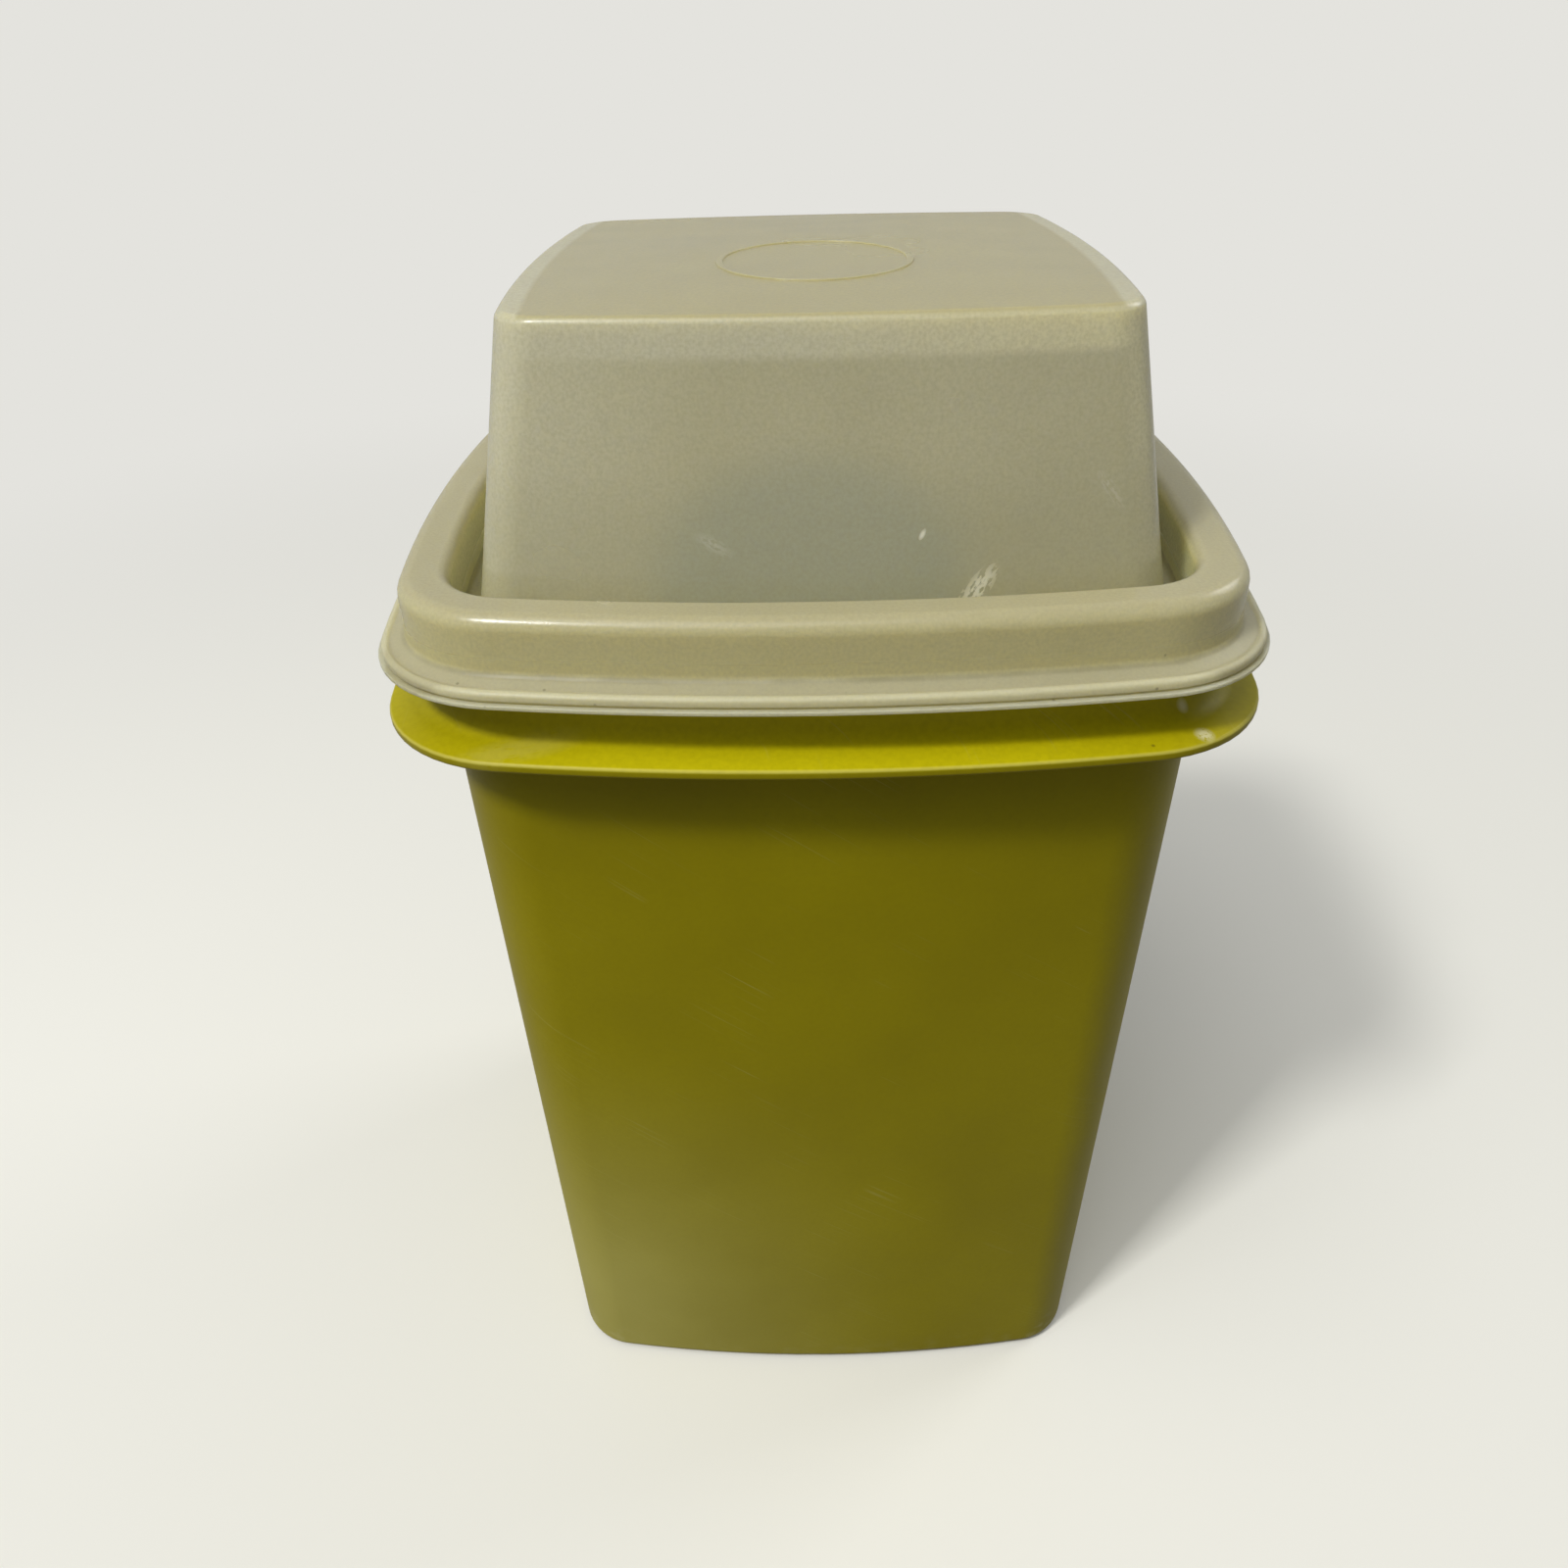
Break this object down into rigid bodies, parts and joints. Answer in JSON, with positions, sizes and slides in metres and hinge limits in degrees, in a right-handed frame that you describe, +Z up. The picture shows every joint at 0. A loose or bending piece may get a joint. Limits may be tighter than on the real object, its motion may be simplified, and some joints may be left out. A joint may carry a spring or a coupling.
{
  "type": "food keeper with lift-out strainer",
  "caption": "Tall square plastic food keeper: a tapered canister with a flat brim, a perforated strainer with a lifting handle, and a domed press-on lid.",
  "frame": {"origin": "centre of the foot that the canister stands on, with the foot in the plane z = 0", "axes": "+Z up, through the dome of the lid; X and Y square to the sides of the canister, with the strainer's two arms at -X and +X"},
  "size_m": [0.1406, 0.1406, 0.2224],
  "materials": {
    "canister_green": "satin",
    "lid_frosted": "satin",
    "strainer_natural": "satin"
  },
  "bodies": {
    "canister": {"canister": "canister_green"},
    "strainer": {"strainer": "strainer_natural"},
    "lid": {"lid": "lid_frosted"}
  },
  "joints": [
    {"name": "strainer_lift", "type": "slide", "parent": "canister", "child": "strainer", "axis": [0, 0, 1], "range_m": [0, 0.2]},
    {"name": "lid_lift", "type": "slide", "parent": "strainer", "child": "lid", "axis": [0, 0, 1], "range_m": [0, 0.08]}
  ]
}
